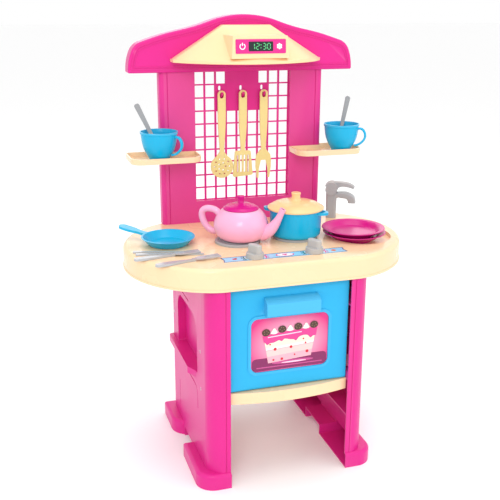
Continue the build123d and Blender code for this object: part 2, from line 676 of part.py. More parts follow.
with BuildPart() as shelf:
    with BuildSketch(Plane.XY.offset(SHELF_BOTTOM)):
        add(shelf_face(0))
    extrude(amount=SHELF_HEIGHT, taper=-6)
    with BuildSketch(Plane.XY.offset(SHELF_BOTTOM + SHELF_FLOOR)):
        add(shelf_face(2.4))
    extrude(amount=SHELF_HEIGHT, taper=-6, mode=Mode.SUBTRACT)
    # cut back flush with the panel's face and side
    with BuildSketch(Plane.XY.offset(SHELF_BOTTOM - 5)):
        with Locations((BACK_HALF + REST_GAP, ahead(0))):
            Rectangle(3 * SHELF_HALF, SHELF_HALF, align=(Align.MAX, Align.MIN))
    extrude(amount=30, mode=Mode.SUBTRACT)
save(shelf.part, "shelf_right")
save(mirrored(shelf.part), "shelf_left")

# ---------------------------------------------------------------- burners
BURNER_SEAT = WORKTOP_TOP - 0.8
BURNER_PROFILE = (
    (0, BURNER_SEAT - 6), (6, BURNER_SEAT - 6), (6, BURNER_SEAT), (BURNER_RADIUS, BURNER_SEAT),
    (BURNER_RADIUS, BURNER_TOP - 1.5), (BURNER_RADIUS - 1.5, BURNER_TOP), (36, BURNER_TOP),
    (35, BURNER_TOP - 1), (30, BURNER_TOP - 1), (29, BURNER_TOP), (18, BURNER_TOP), (17, BURNER_TOP - 1),
    (12, BURNER_TOP - 1), (11, BURNER_TOP), (0, BURNER_TOP),
)

burner = turned(BURNER_PROFILE, BURNER_X, ahead(BURNER_AHEAD))
save(burner, "burner_right")
save(mirrored(burner), "burner_left")

# ---------------------------------------------------------------- control strip
STRIP_HALF = 115.5

with BuildPart() as control_strip:
    with BuildSketch(Plane.XY.offset(WORKTOP_TOP)):
        with BuildLine():
            Polyline((-STRIP_HALF, ahead(242)), (STRIP_HALF, ahead(242)), (STRIP_HALF - 2.5, ahead(255)),
                     (STRIP_HALF, ahead(268)), (-STRIP_HALF, ahead(268)), (2.5 - STRIP_HALF, ahead(255)),
                     close=True)
        make_face()
        with Locations((-KNOB_X, ahead(KNOB_AHEAD)), (KNOB_X, ahead(KNOB_AHEAD))):
            Circle(5.6, mode=Mode.SUBTRACT)
    extrude(amount=0.4)
save(control_strip.part, "control_strip")

# ---------------------------------------------------------------- knobs
KNOB_HEADING = -60.0
for side, name in ((-1, "left"), (1, "right")):
    seat = Plane((side * KNOB_X, ahead(KNOB_AHEAD), WORKTOP_TOP + 0.5), x_dir=(1, 0, 0), z_dir=(0, 0, 1))
    with BuildPart() as knob:
        with BuildSketch(seat):
            Circle(16.5)
        extrude(amount=9, taper=6)
        with BuildSketch(seat.offset(5)):
            SlotOverall(29.5, 14, rotation=KNOB_HEADING)
        extrude(amount=18.5, taper=3)
        fillet(faces().sort_by(Axis.Z)[-1].edges(), 2)
        with BuildSketch(seat):
            Circle(5)
        extrude(amount=-12)
        with BuildSketch(seat.offset(-6.1)):
            Circle(5)
            Circle(4, mode=Mode.SUBTRACT)
        extrude(amount=2.6, mode=Mode.SUBTRACT)
    save(knob.part, f"knob_{name}")
    with BuildPart() as knob_clip:
        with BuildSketch(seat.offset(-5.9)):
            Circle(8)
            Circle(4, mode=Mode.SUBTRACT)
            Rectangle(20, 3.4, align=(Align.MIN, Align.CENTER), mode=Mode.SUBTRACT)
        extrude(amount=2.2)
    save(knob_clip.part, f"knob_clip_{name}")

# ---------------------------------------------------------------- tap
TAP_BASE_Z = WORKTOP_TOP + REST_GAP
TAP_PIVOT = 60.0
TAP_HALF = 10.0
TAP_DOME = 11.0


def tap_turned(shape):
    """A piece drawn with its spout along +X, placed on the worktop and turned to the tap's heading."""
    return Location((TAP_X, ahead(TAP_AHEAD), TAP_BASE_Z), (0, 0, TAP_HEADING)) * shape


with BuildPart() as tap_body:
    with BuildSketch():
        RectangleRounded(20, 2 * TAP_HALF - 1, 5)
    with BuildSketch(Plane.XY.offset(TAP_PIVOT)):
        RectangleRounded(2 * TAP_DOME, 2 * TAP_HALF, 5)
    loft()
    with BuildSketch(Plane.XZ.offset(-(TAP_HALF - 1))):
        with Locations((0, TAP_PIVOT)):
            Circle(TAP_DOME - 0.1)
    extrude(amount=2 * (TAP_HALF - 1))
    with BuildSketch(Plane.XZ.offset(-(TAP_HALF - 1.2))):
        with BuildLine():
            Line((4, 37), (4, 53))
            Spline((4, 53), (34, 53), (46, 46), (50, 32.5), tangents=[(1, 0), (0.1, -1)])
            Line((50, 32.5), (35, 32.5))
            Spline((35, 32.5), (30, 41), (20, 42), (4, 37), tangents=[(-0.1, 1), (-1, -0.7)])
        make_face()
    extrude(amount=2 * (TAP_HALF - 1.2))
    soften(tap_body.edges().filter_by(lambda e: e.center().X > 20 and e.center().Z > 40), 3)
    # outlet
    with BuildSketch(Plane.XY.offset(32.5)):
        with Locations((42.5, 0)):
            Circle(5)
    extrude(amount=5, mode=Mode.SUBTRACT)
    # pivot pin for the lever
    with BuildSketch(Plane.XZ.offset(-(TAP_HALF + 2.4))):
        with Locations((0, TAP_PIVOT)):
            Circle(2.5)
    extrude(amount=2 * (TAP_HALF + 2.4))
    # stem through the worktop
    with BuildSketch():
        Circle(8)
    extrude(amount=-12)
    with BuildSketch(Plane.XY.offset(-6.4)):
        Circle(8)
        Circle(6.8, mode=Mode.SUBTRACT)
    extrude(amount=2.6, mode=Mode.SUBTRACT)
save(tap_turned(tap_body.part), "tap_body")

with BuildPart() as tap_clip:
    with BuildSketch(Plane.XY.offset(-6.2)):
        Circle(12)
        Circle(6.8, mode=Mode.SUBTRACT)
        Rectangle(20, 6, align=(Align.MIN, Align.CENTER), mode=Mode.SUBTRACT)
    extrude(amount=2.2)
save(tap_turned(tap_clip.part), "tap_clip")

with BuildPart() as tap_lever:
    # cap that wraps the dome of the column
    with BuildSketch(Plane.XZ.offset(-(TAP_HALF + 2.3))):
        with BuildLine():
            a0, a1 = radians(18), radians(150)
            outer, inner = TAP_DOME + 4, TAP_DOME + 0.3
            mid = (a0 + a1) / 2
            ThreePointArc((outer * cos(a0), TAP_PIVOT + outer * sin(a0)),
                          (outer * cos(mid), TAP_PIVOT + outer * sin(mid)),
                          (outer * cos(a1), TAP_PIVOT + outer * sin(a1)))
            Line((outer * cos(a1), TAP_PIVOT + outer * sin(a1)),
                 (inner * cos(a1), TAP_PIVOT + inner * sin(a1)))
            ThreePointArc((inner * cos(a1), TAP_PIVOT + inner * sin(a1)),
                          (inner * cos(mid), TAP_PIVOT + inner * sin(mid)),
                          (inner * cos(a0), TAP_PIVOT + inner * sin(a0)))
            Line((inner * cos(a0), TAP_PIVOT + inner * sin(a0)),
                 (outer * cos(a0), TAP_PIVOT + outer * sin(a0)))
        make_face()
    extrude(amount=2 * (TAP_HALF + 2.3))
    # cheeks that snap over the pivot pin
    for side in (-1, 1):
        with BuildSketch(Plane.XZ.offset(side * (TAP_HALF + 0.3))):
            with Locations((0, TAP_PIVOT)):
                Circle(TAP_DOME + 1)
                Circle(2.56, mode=Mode.SUBTRACT)
        extrude(amount=side * 2.0)
    # arm
    with BuildSketch(Plane.XZ.offset(-8)):
        with BuildLine():
            Spline((2, TAP_PIVOT + 14.6), (20, TAP_PIVOT + 14.6), (36, TAP_PIVOT + 12), (47, TAP_PIVOT + 6),
                   tangents=[(1, 0.05), (0.8, -0.6)])
            Line((47, TAP_PIVOT + 6), (44.6, TAP_PIVOT + 2))
            Spline((44.6, TAP_PIVOT + 2), (34, TAP_PIVOT + 5.4), (20, TAP_PIVOT + 6), (13, TAP_PIVOT + 2),
                   tangents=[(-0.8, 0.5), (-0.6, -1)])
            Line((13, TAP_PIVOT + 2), (12.4, TAP_PIVOT + 6))
            Line((12.4, TAP_PIVOT + 6), (2, TAP_PIVOT + 14.6))
        make_face()
    extrude(amount=16)
save(tap_turned(tap_lever.part), "tap_lever")

# ---------------------------------------------------------------- teapot
TEAPOT_BASE = BURNER_TOP + REST_GAP
TEAPOT_WALL = 2.2


def bowl_curve(stations):
    """Smooth meridian through (radius, height) stations, sampled for a turned wall."""
    with BuildLine() as line:
        Spline(*stations)
    return [(p.X, p.Y) for p in (line.line @ (k / 24) for k in range(25))]


def thin_wall(outer, wall):
    """Points of the inner side of a turned wall, parallel to the outer meridian."""
    inner = []
    for k, (r, z) in enumerate(outer):
        before, after = outer[max(k - 1, 0)], outer[min(k + 1, len(outer) - 1)]
        dr, dz = after[0] - before[0], after[1] - before[1]
        length = hypot(dr, dz)
        inner.append((r - wall * dz / length, z + wall * dr / length))
    return inner


TEAPOT_MOUTH = 30.8
TEAPOT_HEIGHT = 58.0
teapot_outer = bowl_curve([(30, 0), (44.5, 8), (50.8, 26), (45, 46), (33, TEAPOT_HEIGHT)])
teapot_inner = thin_wall(teapot_outer, TEAPOT_WALL)
teapot_inner[-1] = (TEAPOT_MOUTH, TEAPOT_HEIGHT)


def at_teapot(shape):
    """A piece drawn with the spout along +X, stood on the burner and turned to the pot's heading."""
    return Location((TEAPOT_X, ahead(TEAPOT_AHEAD), TEAPOT_BASE), (0, 0, TEAPOT_HEADING)) * shape


def pipe_station(reach, rise, lean):
    """Cross-section plane of the spout, square to its run."""
    return Plane((reach, 0, rise), x_dir=(0, 1, 0), z_dir=(cos(radians(lean)), 0, sin(radians(lean))))


SPOUT_STATIONS = ((40, 15, 15, 12), (57, 23, 11.5, 42), (70, 40, 7.4, 66), (81, 63, 6.2, 62))
BORE_STATIONS = ((50, 19.5, 6, 30), (60, 26, 6, 48), (70, 40, 5.0, 66), (82.5, 66, 4.3, 62))

with BuildPart() as teapot_body:
    meridian = [(0, 0)] + teapot_outer + teapot_inner[::-1] + [(0, TEAPOT_WALL)]
    add(turned(meridian, 0, 0))
    with BuildPart(mode=Mode.PRIVATE) as teapot_extras:
        with BuildLine(Plane.XZ) as handle_path:
            Spline((-41, 39), (-56, 53), (-75, 49), (-73, 26), (-46, 12))
        with BuildSketch(Plane(origin=handle_path.line @ 0, z_dir=handle_path.line % 0)):
            Circle(6.2)
        sweep(path=handle_path.line)
        for reach, rise, radius, lean in SPOUT_STATIONS:
            with BuildSketch(pipe_station(reach, rise, lean)):
                Circle(radius)
        loft()
    # the handle and spout end at the body's inner side
    keep_out = turned([(0, -5)] + teapot_inner + [(TEAPOT_MOUTH, 80), (0, 80)], 0, 0)
    add(teapot_extras.part - keep_out)
    # bore of the spout
    with BuildPart(mode=Mode.SUBTRACT):
        for reach, rise, radius, lean in BORE_STATIONS:
            with BuildSketch(pipe_station(reach, rise, lean)):
                Circle(radius)
        loft()
save(at_teapot(teapot_body.part), "teapot_body")

teapot_lid = turned([(r, TEAPOT_HEIGHT + REST_GAP + z) for r, z in (
    (0, 8.2), (8, 8), (17, 6.2), (25.5, 3), (27.4, 1.8), (27.4, -4), (29.6, -4), (29.6, 0), (33, 0),
    (33.4, 1.5), (27, 5.6), (18, 8.8), (9, 10.6), (6, 11.3), (5.4, 15), (6.4, 20), (7.2, 22.8),
    (6.4, 24.4), (0, 24.7))], 0, 0)
save(at_teapot(teapot_lid), "teapot_lid")

# ---------------------------------------------------------------- pot
POT_BASE = BURNER_TOP + REST_GAP
POT_RIM = 480.0
pot_x, pot_y = POT_X, ahead(POT_AHEAD)
pot_height = POT_RIM - POT_BASE

with BuildPart() as pot_body:
    add(turned([(r, POT_BASE + z) for r, z in (
        (0, 0), (41, 0), (44.5, 1.2), (47, 4), (48, 8), (49, pot_height - 2), (51, pot_height - 1.5),
        (51, pot_height), (47, pot_height), (45.9, 8), (45, 4.8), (42.5, 2.6), (0, 2.4))], pot_x, pot_y))
    for turn in (0, 180):
        lug = Plane(Location((pot_x, pot_y, POT_RIM - 7), (0, 0, POT_HEADING + turn)))
        with BuildSketch(lug):
            with BuildLine():
                Spline((47.2, -13), (56, -11.5), (64, 0), (56, 11.5), (47.2, 13),
                       tangents=[(1, 0.1), (-1, 0.1)])
                Line((47.2, 13), (47.2, -13))
            make_face()
            with BuildLine():
                Spline((50.2, -7.5), (54.5, -7), (58.5, 0), (54.5, 7), (50.2, 7.5),
                       tangents=[(1, 0.1), (-1, 0.1)])
                Line((50.2, 7.5), (50.2, -7.5))
            make_face(mode=Mode.SUBTRACT)
        extrude(amount=5)
save(pot_body.part, "pot_body")

pot_lid = turned([(r, POT_RIM + REST_GAP + z) for r, z in (
    (0, 12.5), (18, 12.3), (31, 10.2), (40, 7), (44.4, 4), (44.4, -3), (46.4, -3), (46.4, 0), (52.6, 0),
    (53.4, 1), (53.4, 3), (51.5, 4), (47, 7), (40, 10.6), (30, 13.6), (18, 15.4), (9.8, 16.2), (8.4, 19),
    (8, 25), (9, 29), (8.4, 30.4), (0, 30.6))], pot_x, pot_y)
save(pot_lid, "pot_lid")

# ---------------------------------------------------------------- frying pan
pan_x, pan_y = PAN_X, ahead(PAN_AHEAD)
PAN_BASE = WORKTOP_TOP + REST_GAP
PAN_HEIGHT = 15.0
PAN_HEADING = 137.5
PAN_HANDLE_RISE = 9.0

with BuildPart() as frying_pan:
    add(turned([(r, PAN_BASE + z) for r, z in (
        (0, 0), (34.5, 0), (36.5, 0.8), (47.5, PAN_HEIGHT - 1.6), (49.4, PAN_HEIGHT - 1), (49.4, PAN_HEIGHT),
        (46.4, PAN_HEIGHT), (36, 2.8), (34.5, 2.2), (0, 2.2))], pan_x, pan_y))
    root = Location((pan_x, pan_y, PAN_BASE + PAN_HEIGHT - 5), (0, 0, PAN_HEADING))
    grip = Plane(root * Location((46, 0, 0), (0, -PAN_HANDLE_RISE, 0)) * Location((-46, 0, 0)))
    with BuildSketch(grip):
        with BuildLine():
            Line((46, -7.5), (58, -6))
            Spline((58, -6), (80, -9.5), (99, -9.5), tangents=[(1, 0), (1, 0)])
            ThreePointArc((99, -9.5), (107, 0), (99, 9.5))
            Spline((99, 9.5), (80, 9.5), (58, 6), tangents=[(-1, 0), (-1, 0)])
            Line((58, 6), (46, 7.5))
            Line((46, 7.5), (46, -7.5))
        make_face()
    extrude(amount=4.8)
save(frying_pan.part, "frying_pan")

# ---------------------------------------------------------------- plates
PLATE_STEP = 8.0
PLATE_PROFILE = (
    (0, 6), (32.3, 6), (32.3, 0), (34.3, 0), (34.3, 6), (44, 6.4), (52.5, 14), (59.4, 15.6),
    (60, 16.2), (59.4, 17.2), (51.5, 15.8), (43, 8.4), (42, 8), (0, 8),
)
for name, x, level in (("plate_lower", 168.5, 0.0), ("plate_upper", 166.0, PLATE_STEP + REST_GAP)):
    plate = turned([(r, SINK_LEDGE + REST_GAP + level + z) for r, z in PLATE_PROFILE], x, ahead(PLATE_AHEAD))
    save(plate, name)

# ---------------------------------------------------------------- cups
CUP_BASE = SHELF_BOTTOM + SHELF_FLOOR + REST_GAP
cup_outer = bowl_curve([(19, 3), (21, 7), (29, 22), (33.4, 40), (34.4, CUP_HEIGHT - 5)])
cup_inner = thin_wall(cup_outer, 2.0)


def make_cup(x, heading):
    """Cup with a foot ring, a stepped rim and an ear-shaped handle."""
    y = ahead(CUP_AHEAD)
    rim = [(35.6, CUP_HEIGHT - 4.4), (36, CUP_HEIGHT), (33.8, CUP_HEIGHT)]
    foot = [(0, 2), (17, 2), (17, 0), (19.6, 0), (20, 2)]
    meridian = foot + cup_outer + rim + cup_inner[::-1][1:] + [(0, 4.4)]
    with BuildPart() as cup:
        add(turned([(r, CUP_BASE + z) for r, z in meridian], x, y))
        with BuildPart(mode=Mode.PRIVATE) as ear:
            frame = Plane(Location((x, y, CUP_BASE), (0, 0, heading)) * Location((0, 0, 0), (90, 0, 0)))
            with BuildLine(frame) as path:
                Spline((31, 45), (42, 46), (48.5, 33), (41, 19), (27, 13))
            with BuildSketch(Plane(origin=path.line @ 0, x_dir=frame.z_dir, z_dir=path.line % 0)):
                RectangleRounded(7.5, 4.2, 1.6)
            sweep(path=path.line)
        inside = turned([(0, CUP_BASE - 1)] + [(r, CUP_BASE + z) for r, z in cup_inner]
                        + [(33.8, CUP_BASE + 70), (0, CUP_BASE + 70)], x, y)
        add(ear.part - inside)
    return cup.part


save(make_cup(LEFT_CUP_X, -40), "cup_left")
save(make_cup(RIGHT_CUP_X, -32), "cup_right")

# ---------------------------------------------------------------- spoons
SPOON_LENGTH = 112.0
SPOON_LEANS = {"left": (LEFT_CUP_X + 5, ahead(41), (-0.418, 0.5, 1.0)),
               "right": (RIGHT_CUP_X - 7, ahead(35), (0.416, 0.45, 1.0))}


def spoon_face():
    """Outline of a teaspoon along +Y: bowl at the origin, widening handle."""
    with BuildSketch() as outline:
        with Locations((0, 10)):
            Ellipse(6.6, 13)
        with BuildLine():
            Polyline((-2.8, 20), (2.8, 20), (4.2, 70), (5.3, SPOON_LENGTH), (-5.3, SPOON_LENGTH),
                     (-4.2, 70), close=True)
        make_face()
        fillet(outline.vertices().group_by(Axis.Y)[-1], 4)
    return outline.sketch


def make_spoon(x, y, lean):
    """Teaspoon that stands in a cup, bowl down, drawn along the leaning axis."""
    axis = Vector(*lean).normalized()
    across = axis.cross(Vector(0, 1, 0)).normalized()
    face = Plane(origin=(x, y, CUP_BASE + 8.6), x_dir=across, z_dir=across.cross(axis))
    with BuildPart() as spoon:
        with BuildSketch(face.offset(-1.2)):
            add(spoon_face())
        extrude(amount=2.4)
    return spoon.part


for side, (x, y, lean) in SPOON_LEANS.items():
    save(make_spoon(x, y, lean), f"spoon_{side}")

# ---------------------------------------------------------------- utensils on the hooks
UTENSIL_TOP = 686.5
HEAD_CENTRE = 536.2


def handle_outline(neck):
    """Long handle that narrows to the neck, with an eye for the hook."""
    with BuildSketch() as handle:
        with BuildLine():
            side = Spline((8, UTENSIL_TOP - 10), (8, 640), (6.6, 600), (neck, 562),
                          tangents=[(0, -1), (0, -1)])
            ThreePointArc((8, UTENSIL_TOP - 10), (0, UTENSIL_TOP), (-8, UTENSIL_TOP - 10))
            mirror(side, about=Plane.YZ)
            Line((neck, 562), (-neck, 562))
        make_face()
        with Locations((0, HOOK_Z - 0.9)):
            SlotOverall(11, 8, rotation=90, mode=Mode.SUBTRACT)
    return handle.sketch


def skimmer_head():
    """Round head with rings of holes."""
    with BuildSketch() as head:
        with Locations((0, HEAD_CENTRE)):
            Circle(23.3)
            with PolarLocations(15.5, 10):
                Circle(1.6, mode=Mode.SUBTRACT)
            with PolarLocations(7.5, 5):
                Circle(1.6, mode=Mode.SUBTRACT)
        with BuildLine():
            Polyline((-4.5, 566), (4.5, 566), (12, 556), (-12, 556), close=True)
        make_face()
    return head.sketch


def spatula_head():
    """Slotted turner with slanted bars and a wide lower edge."""
    with BuildSketch() as head:
        with BuildLine():
            Polyline((-16.2, 566), (16.2, 566), (21.2, 516), (-21.2, 513), close=True)
        make_face()
        fillet(head.vertices(), 3.5)
        with Locations((-11, 540), (-3.7, 540), (3.7, 540), (11, 540)):
            SlotOverall(36, 3.8, rotation=90, mode=Mode.SUBTRACT)
        with BuildLine():
            Polyline((-4, 568), (4, 568), (8, 560), (-8, 560), close=True)
        make_face()
    return head.sketch


def fork_tines():
    """The two tines below the fork's shoulders."""
    with BuildSketch() as tines:
        for side in (-1, 1):
            with BuildLine():
                Polyline((side * 16.3, 546), (side * 5, 546), (side * 9.4, 528), (side * 10.2, 508.5),
                         (side * 13, 508.5), (side * 16, 530), close=True)
            make_face()
    return tines.sketch


def make_utensil(x, heads, neck):
    """Flat moulded utensil: a handle and its head outlines in one thickness."""
    with BuildPart() as utensil:
        with BuildSketch(Plane.XZ.offset(-ahead(-5.5))):
            with Locations((x, 0)):
                add(handle_outline(neck))
                for head in heads:
                    add(head)
        extrude(amount=UTENSIL_DEPTH)
    return utensil.part


save(make_utensil(HOOK_X[0], [skimmer_head()], 4.5), "skimmer")
save(make_utensil(HOOK_X[1], [spatula_head()], 4.0), "spatula")
with BuildSketch() as fork_shoulder:
    with BuildLine():
        Polyline((-4.5, 568), (4.5, 568), (14.6, 556), (16.3, 545), (-16.3, 545), (-14.6, 556), close=True)
    make_face()
save(make_utensil(HOOK_X[2], [fork_shoulder.sketch, fork_tines()], 4.5), "serving_fork")

# ---------------------------------------------------------------- cutlery on the worktop
CUTLERY_BASE = WORKTOP_TOP + REST_GAP


def knife_outline():
    """Table knife, handle end at the origin, blade along +X."""
    with BuildSketch() as plan:
        with BuildLine():
            Polyline((0, -4.6), (0, 4.6), (48, 3.4), (56, 2.2), (112, 4.5), (121, 1), (118, -3), (56, -3),
                     (48, -3.4), close=True)
        make_face()
        fillet(plan.vertices().group_by(Axis.X)[0], 2.5)
    return plan.sketch


def fork_handle_outline():
    """Handle and neck of a table fork, handle end at the origin."""
    with BuildSketch() as plan:
        with BuildLine():
            side = Spline((3, 6), (30, 6), (58, 2.4), (72, 2.2), tangents=[(1, 0), (1, 0)])
            ThreePointArc((3, 6), (-2, 0), (3, -6))
            mirror(side, about=Plane.XZ)
            Line((72, 2.2), (72, -2.2))
        make_face()
    return plan.sketch


def fork_head_outline():
    """Head of a table fork with four tines."""
    with BuildSketch() as plan:
        with BuildLine():
            Polyline((70, -2.2), (70, 2.2), (80, 7.6), (118, 8), (118, -8), (80, -7.6), close=True)
        make_face()
        for y in (-4.2, 0, 4.2):
            with Locations((105, y)):
                SlotOverall(32, 1.9, mode=Mode.SUBTRACT)
    return plan.sketch


def lay(shape, x, distance, height, heading):
    """Place a piece drawn along +X on the worktop."""
    return Location((x, ahead(distance), height), (0, 0, heading)) * shape


with BuildPart() as knife:
    with BuildSketch():
        add(knife_outline())
    extrude(amount=2.6)
save(lay(knife.part, -256, 167, CUTLERY_BASE, -17.5), "knife_rear")
save(lay(knife.part, -254, 183, CUTLERY_BASE, -14.5), "knife_front")

with BuildPart() as fork:
    with BuildSketch():
        add(fork_handle_outline())
    extrude(amount=4)
    with BuildSketch(Plane.XY.offset(2.9)):
        with Locations((71, 0)):
            Rectangle(10, 4.4)
    extrude(amount=2.1)
    with BuildSketch(Plane.XY.offset(3.1)):
        add(fork_head_outline())
    extrude(amount=1.9)
save(lay(fork.part, -260, 214, CUTLERY_BASE, 6.0), "fork_rear")
save(lay(fork.part, -231, 257, CUTLERY_BASE, 10.5), "fork_front")

# ---------------------------------------------------------------- screws


def screw_at(head_plane, length):
    """Countersunk screw with its head level with the given plane and its shaft behind it."""
    with BuildPart(head_plane) as screw:
        with BuildSketch(head_plane.offset(-0.2)) as top:
            Circle(SCREW_HEAD)
        with BuildSketch(head_plane.offset(-1.9)):
            Circle(SCREW_SHAFT)
        loft()
        with BuildSketch(head_plane.offset(-1.9)):
            Circle(SCREW_SHAFT)
        extrude(amount=-length)
        with BuildSketch(head_plane.offset(-0.2)):
            Rectangle(4.0, 0.9)
            Rectangle(0.9, 4.0)
        extrude(amount=-1.2, mode=Mode.SUBTRACT)
    return screw.part


side_screws = []
for side in (-1, 1):
    for distance, height in SIDE_SCREWS:
        head_plane = Plane((side * SIDE_OUTER, ahead(distance), height), x_dir=(0, 1, 0), z_dir=(side, 0, 0))
        side_screws.append(screw_at(head_plane, SIDE_OUTER - SIDE_INNER + 5))
save(Compound(children=side_screws), "side_screws")
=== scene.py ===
"""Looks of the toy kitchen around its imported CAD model. Metres, row frame: front -Y, +Z up."""
import json
import math

import bmesh
import bpy
from mathutils import Matrix, Vector

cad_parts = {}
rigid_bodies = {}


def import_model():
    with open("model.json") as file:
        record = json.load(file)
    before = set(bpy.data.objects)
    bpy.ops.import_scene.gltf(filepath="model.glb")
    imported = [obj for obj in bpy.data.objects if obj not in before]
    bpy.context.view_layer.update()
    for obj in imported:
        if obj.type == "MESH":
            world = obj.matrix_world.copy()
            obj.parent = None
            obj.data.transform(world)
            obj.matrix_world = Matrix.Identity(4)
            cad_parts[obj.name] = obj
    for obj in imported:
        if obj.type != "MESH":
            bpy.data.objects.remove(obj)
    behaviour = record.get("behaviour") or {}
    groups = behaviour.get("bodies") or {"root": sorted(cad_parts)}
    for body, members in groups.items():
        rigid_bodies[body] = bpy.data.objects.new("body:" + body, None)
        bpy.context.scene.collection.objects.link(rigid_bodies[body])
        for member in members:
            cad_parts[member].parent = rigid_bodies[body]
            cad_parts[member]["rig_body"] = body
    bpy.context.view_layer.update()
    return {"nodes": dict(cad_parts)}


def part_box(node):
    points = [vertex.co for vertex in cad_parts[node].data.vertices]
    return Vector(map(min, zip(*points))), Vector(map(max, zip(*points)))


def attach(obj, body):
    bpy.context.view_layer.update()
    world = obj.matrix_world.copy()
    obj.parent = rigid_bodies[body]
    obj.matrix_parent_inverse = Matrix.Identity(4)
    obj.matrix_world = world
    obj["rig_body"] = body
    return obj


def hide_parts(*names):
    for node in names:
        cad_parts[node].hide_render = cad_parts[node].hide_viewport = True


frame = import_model()
MM = 0.001

# ------------------------------------------------------------------ colours, linear
PINK = (0.69, 0.020, 0.25)
CREAM = (0.92, 0.65, 0.40)
HOOD_CREAM = (0.93, 0.64, 0.36)
DOOR_BLUE = (0.030, 0.42, 0.74)
CUP_BLUE = (0.004, 0.42, 0.70)
PALE_PINK = (0.88, 0.42, 0.62)
MAGENTA = (0.60, 0.008, 0.22)
GREY = (0.40, 0.40, 0.41)
KNOB_GREY = (0.46, 0.45, 0.44)
SPOON_GREY = (0.27, 0.28, 0.29)
CUTLERY_GREY = (0.42, 0.43, 0.45)
UTENSIL = (0.80, 0.66, 0.27)
POT_LID = (0.90, 0.58, 0.28)
STEEL = (0.55, 0.56, 0.58)


# ------------------------------------------------------------------ materials
FLOW_SCALE = 9.0
FLOW_DETAIL = 3.0
PEEL_SCALE = 420.0
PEEL_DEPTH = 0.6 * MM
PRINT_GRAIN_SCALE = 300.0
WORN_POINTINESS = (0.52, 0.62)
WORN_PALENESS = 0.45
PLASTIC_IOR = 1.47
COAT_ROUGHNESS = 0.14
SCATTER_DEPTH = (4 * MM, 3 * MM, 2 * MM)


def new_material(name):
    """A new material, its node tree and its Principled shader."""
    made = bpy.data.materials.new(name)
    made.use_nodes = True
    return made, made.node_tree, made.node_tree.nodes["Principled BSDF"]


def shaded(colour, share):
    """The colour made darker or lighter by a share, as RGBA no brighter than white."""
    return (*[min(1.0, channel * share) for channel in colour], 1)


def noise(tree, scale, detail=2.0):
    """Output of a noise in the object's own coordinates."""
    place = tree.nodes.new("ShaderNodeTexCoord")
    texture = tree.nodes.new("ShaderNodeTexNoise")
    texture.inputs["Scale"].default_value = scale
    texture.inputs["Detail"].default_value = detail
    tree.links.new(place.outputs["Object"], texture.inputs["Vector"])
    return texture.outputs["Fac"]


def colour_mix(tree, factor, low, high):
    """Output that runs from one RGBA colour to another with a factor."""
    mix = tree.nodes.new("ShaderNodeMix")
    mix.data_type = "RGBA"
    mix.inputs["A"].default_value = low
    mix.inputs["B"].default_value = high
    tree.links.new(factor, mix.inputs["Factor"])
    return mix.outputs["Result"]


def edge_wear(tree, amount):
    """Output that rises to an amount on outer edges and is 0 elsewhere."""
    surface = tree.nodes.new("ShaderNodeNewGeometry")
    ramp = tree.nodes.new("ShaderNodeValToRGB")
    for element, position in zip(ramp.color_ramp.elements, WORN_POINTINESS):
        element.position = position
    tree.links.new(surface.outputs["Pointiness"], ramp.inputs["Fac"])
    share = tree.nodes.new("ShaderNodeMath")
    share.operation = "MULTIPLY"
    share.inputs[1].default_value = amount
    tree.links.new(ramp.outputs["Color"], share.inputs[0])
    return share.outputs["Value"]


def plastic(name, colour, rough=0.32, grain=0.03, wear=0.10, coat=0.0, subsurface=0.0, shine=0.3,
            metallic=0.0):
    """Moulded plastic: slight flow marks in colour, orange-peel bump, paler worn edges."""
    made, tree, shader = new_material(name)
    nodes, link = tree.nodes, tree.links.new
    flow = noise(tree, FLOW_SCALE, FLOW_DETAIL)
    worn = nodes.new("ShaderNodeMix")
    worn.data_type = "RGBA"
    worn.inputs["B"].default_value = (*[c + (1 - c) * WORN_PALENESS for c in colour], 1)
    link(colour_mix(tree, flow, shaded(colour, 0.93), shaded(colour, 1.05)), worn.inputs["A"])
    link(edge_wear(tree, wear), worn.inputs["Factor"])
    link(worn.outputs["Result"], shader.inputs["Base Color"])
    satin = nodes.new("ShaderNodeMapRange")
    satin.inputs["To Min"].default_value = rough - 0.05
    satin.inputs["To Max"].default_value = rough + 0.07
    link(flow, satin.inputs["Value"])
    link(satin.outputs["Result"], shader.inputs["Roughness"])
    peel = nodes.new("ShaderNodeBump")
    peel.inputs["Strength"].default_value = grain
    peel.inputs["Distance"].default_value = PEEL_DEPTH
    link(noise(tree, PEEL_SCALE), peel.inputs["Height"])
    link(peel.outputs["Normal"], shader.inputs["Normal"])
    settings = {
        "IOR": PLASTIC_IOR, "Specular IOR Level": shine, "Metallic": metallic,
        "Coat Weight": coat, "Coat Roughness": COAT_ROUGHNESS,
        "Subsurface Weight": subsurface, "Subsurface Radius": SCATTER_DEPTH, "Subsurface Scale": 1.0,
    }
    for socket, value in settings.items():
        shader.inputs[socket].default_value = value
    return made


def print_film(name, colour, rough=0.22, glow=0.0):
    """Glossy printed film in one colour with a faint print grain; a glow above 0 adds painted glow,
    an emission though the film is no lamp.
    """
    made, tree, shader = new_material(name)
    grain = noise(tree, PRINT_GRAIN_SCALE)
    tint = colour_mix(tree, grain, shaded(colour, 0.94), shaded(colour, 1.04))
    tree.links.new(tint, shader.inputs["Base Color"])
    shader.inputs["Roughness"].default_value = rough
    # Painted glow: emission on printed film, which is no lamp.
    if glow:
        shader.inputs["Emission Color"].default_value = (*colour, 1)
        shader.inputs["Emission Strength"].default_value = glow
    return made


